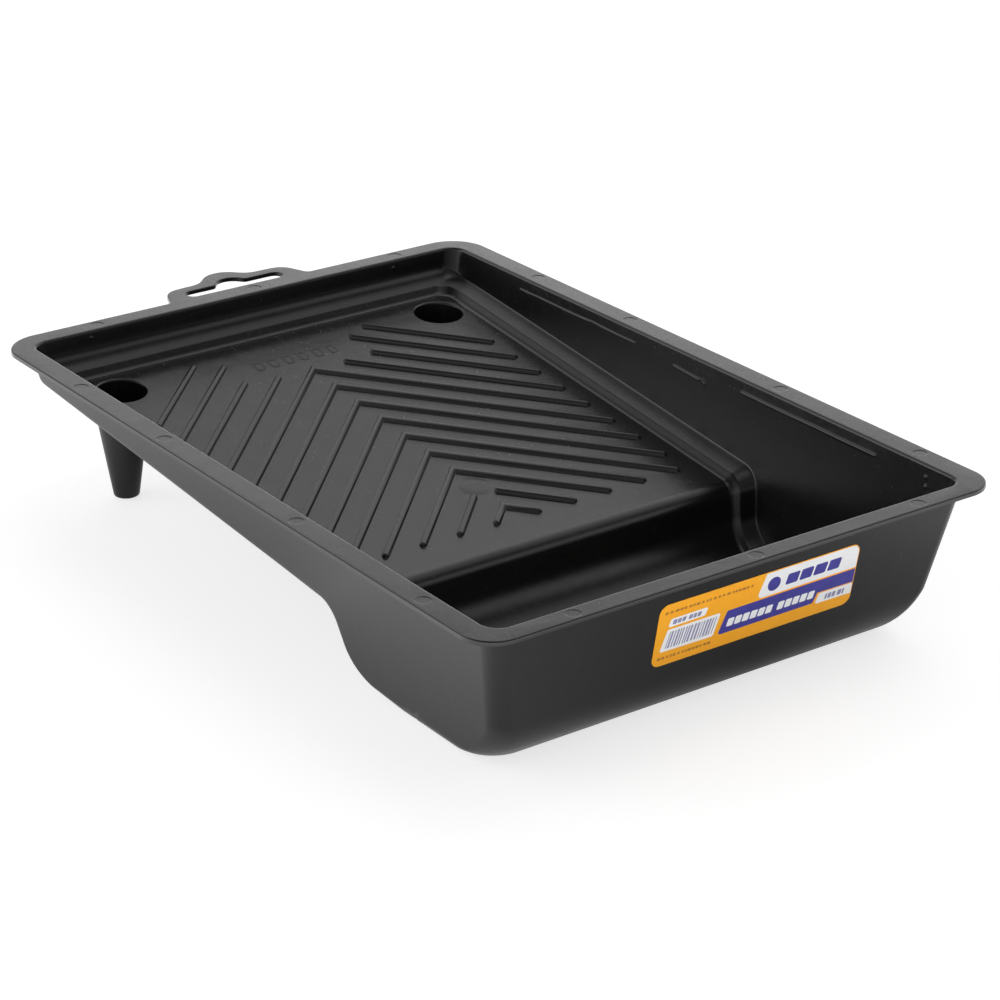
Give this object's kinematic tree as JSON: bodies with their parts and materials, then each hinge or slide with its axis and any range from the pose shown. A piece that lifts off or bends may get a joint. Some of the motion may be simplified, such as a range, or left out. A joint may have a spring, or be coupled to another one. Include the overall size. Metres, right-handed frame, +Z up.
{
  "type": "paint roller tray",
  "caption": "Shallow moulded plastic paint tray with a deep well, a ribbed sloping ramp, a flat rim, hollow rear legs, a slotted hang tab and a printed label on the well's front wall.",
  "frame": {"origin": "on the ground, at the middle of the overall length and width", "axes": "+X across the tray to the right, +Y to the rear, towards the hang tab, +Z up; the well and its label face -Y"},
  "size_m": [0.2, 0.316, 0.0555],
  "materials": {
    "black_plastic": "satin black moulded polypropylene with a fine mould grain",
    "label_film": "printed self-adhesive film, orange ground with white and blue panels"
  },
  "bodies": {
    "root": {"tray_body": "black_plastic", "label": "label_film"}
  },
  "joints": []
}
